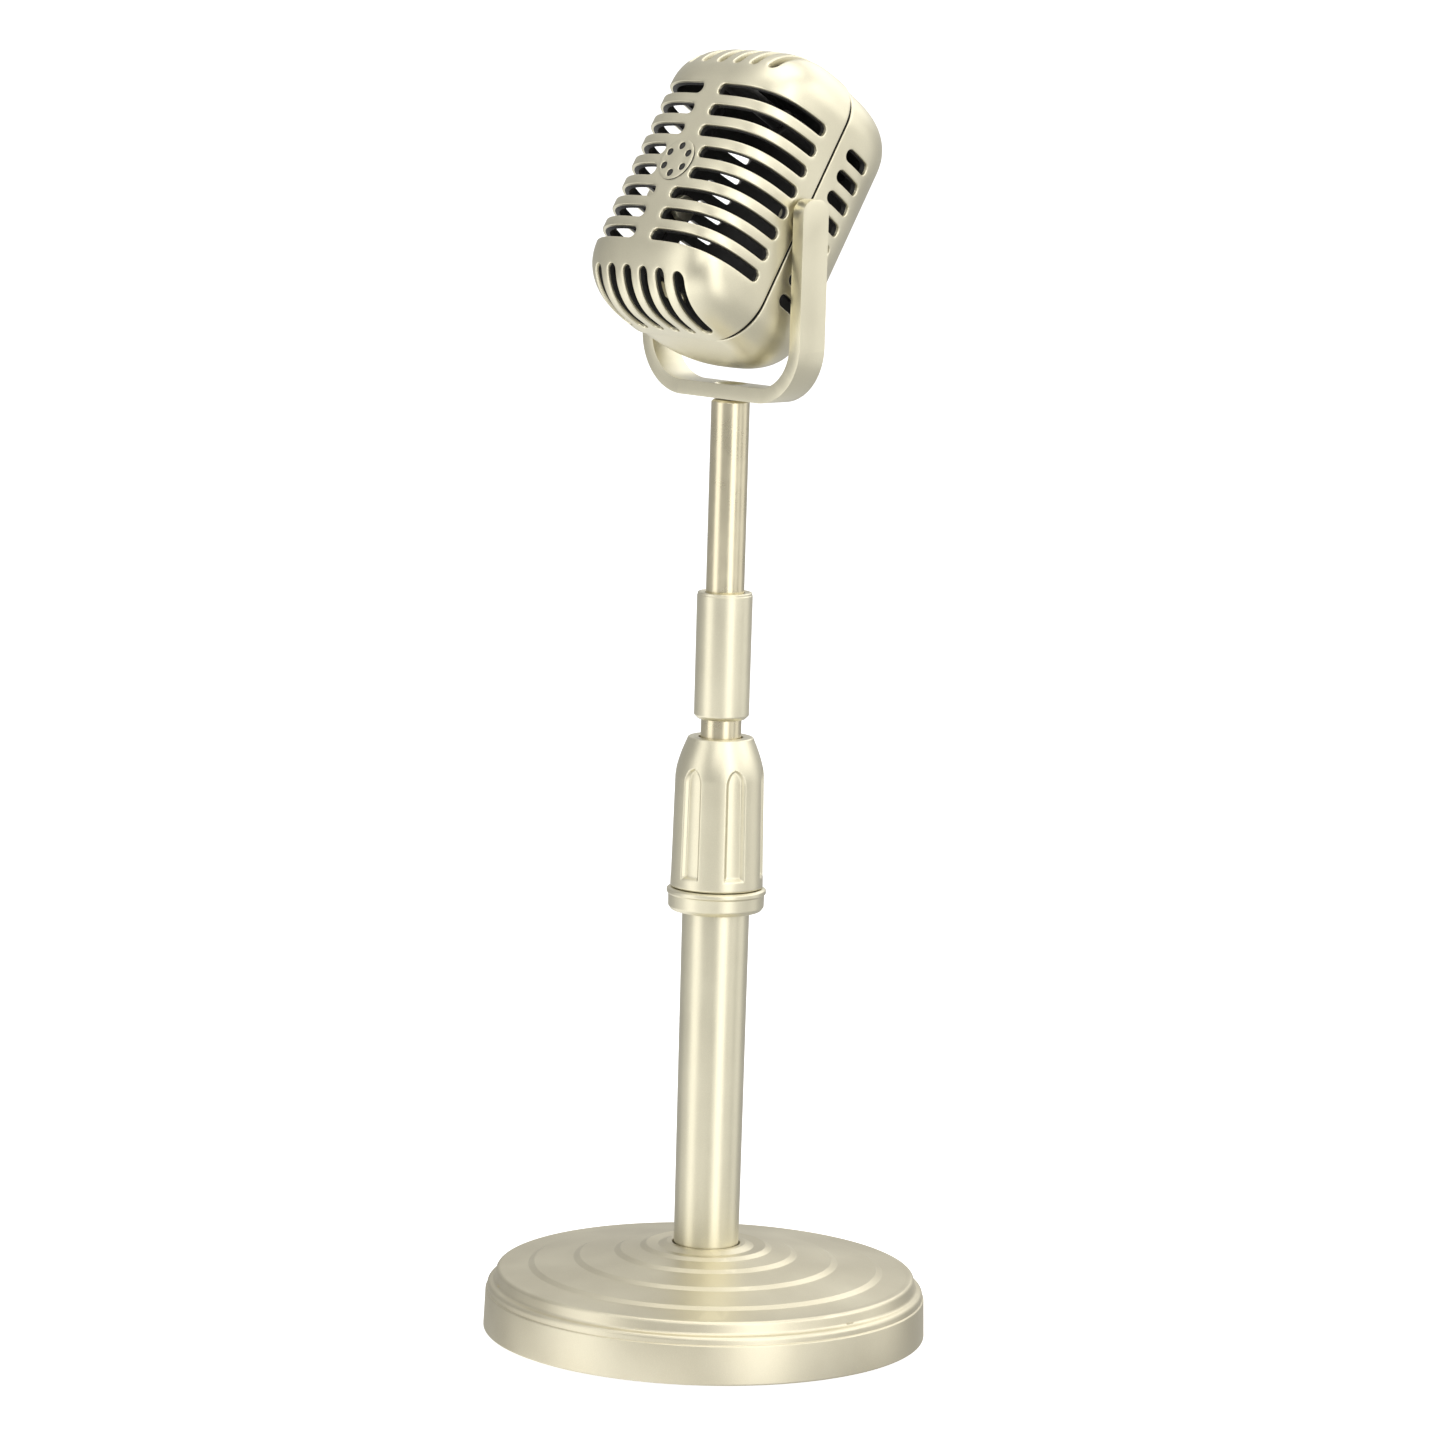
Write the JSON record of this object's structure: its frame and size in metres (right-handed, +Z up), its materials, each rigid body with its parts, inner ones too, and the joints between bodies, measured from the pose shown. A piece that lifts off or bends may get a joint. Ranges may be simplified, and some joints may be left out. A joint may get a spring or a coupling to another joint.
{
  "type": "toy microphone",
  "caption": "Decorative retro microphone on a table stand: slotted hollow head tilting in a U yoke, telescoping mast with twist clutch, round stepped weighted base.",
  "frame": {"origin": "centre of the underside of the base, on the surface that the microphone stands on", "axes": "+Z up along the mast; the front of the microphone faces -Y; the head tilts about an axis along X"},
  "size_m": [0.098, 0.098, 0.2833],
  "materials": {
    "champagne_plastic": "black plastic sprayed with satin champagne-gold metallic paint",
    "champagne_metal": "satin champagne-gold metallic paint",
    "brassy_metal": "polished, pale brass-coloured plating",
    "black_plastic": "moulded, unpainted",
    "natural_nylon": "moulded, unpainted",
    "black_rubber": "matte, fine texture",
    "zinc_steel": "zinc plated",
    "ballast_iron": "raw, oiled"
  },
  "bodies": {
    "stand": {"base_sole": "black_rubber", "base_weight": "ballast_iron", "base_cover": "champagne_plastic", "base_washer": "zinc_steel", "base_screw": "zinc_steel", "tube_plug": "black_plastic", "lower_tube": "champagne_metal", "clutch_body": "champagne_plastic", "clutch_washer": "natural_nylon", "clutch_collet": "natural_nylon"},
    "grip": {"clutch_grip": "champagne_plastic"},
    "slider": {"slide_bush": "natural_nylon"},
    "mast": {"inner_tube": "brassy_metal", "connector_sleeve": "champagne_plastic", "upper_rod": "brassy_metal", "yoke": "champagne_metal", "yoke_screw": "zinc_steel", "pivot_pin_right": "champagne_metal", "pivot_pin_left": "champagne_metal", "pivot_washer_right": "champagne_plastic", "pivot_washer_left": "champagne_plastic"},
    "head": {"front_shell": "champagne_plastic", "rear_shell": "champagne_plastic", "front_rosette": "champagne_plastic", "shell_screw_top": "zinc_steel", "shell_screw_bottom": "zinc_steel"}
  },
  "joints": [
    {"name": "clutch_turn", "type": "hinge", "parent": "stand", "child": "grip", "pos_m": [0, 0, 0.117], "axis": [0, 0, 1], "range_deg": [0, 180]},
    {"name": "height_slide", "type": "slide", "parent": "stand", "child": "slider", "axis": [0, 0, 1], "range_m": [-0.0035, 0.05]},
    {"name": "mast_turn", "type": "hinge", "parent": "slider", "child": "mast", "pos_m": [0, 0, 0.032], "axis": [0, 0, 1], "continuous": true},
    {"name": "head_tilt", "type": "hinge", "parent": "mast", "child": "head", "pos_m": [0, 0, 0.2484], "axis": [1, 0, 0], "continuous": true}
  ]
}
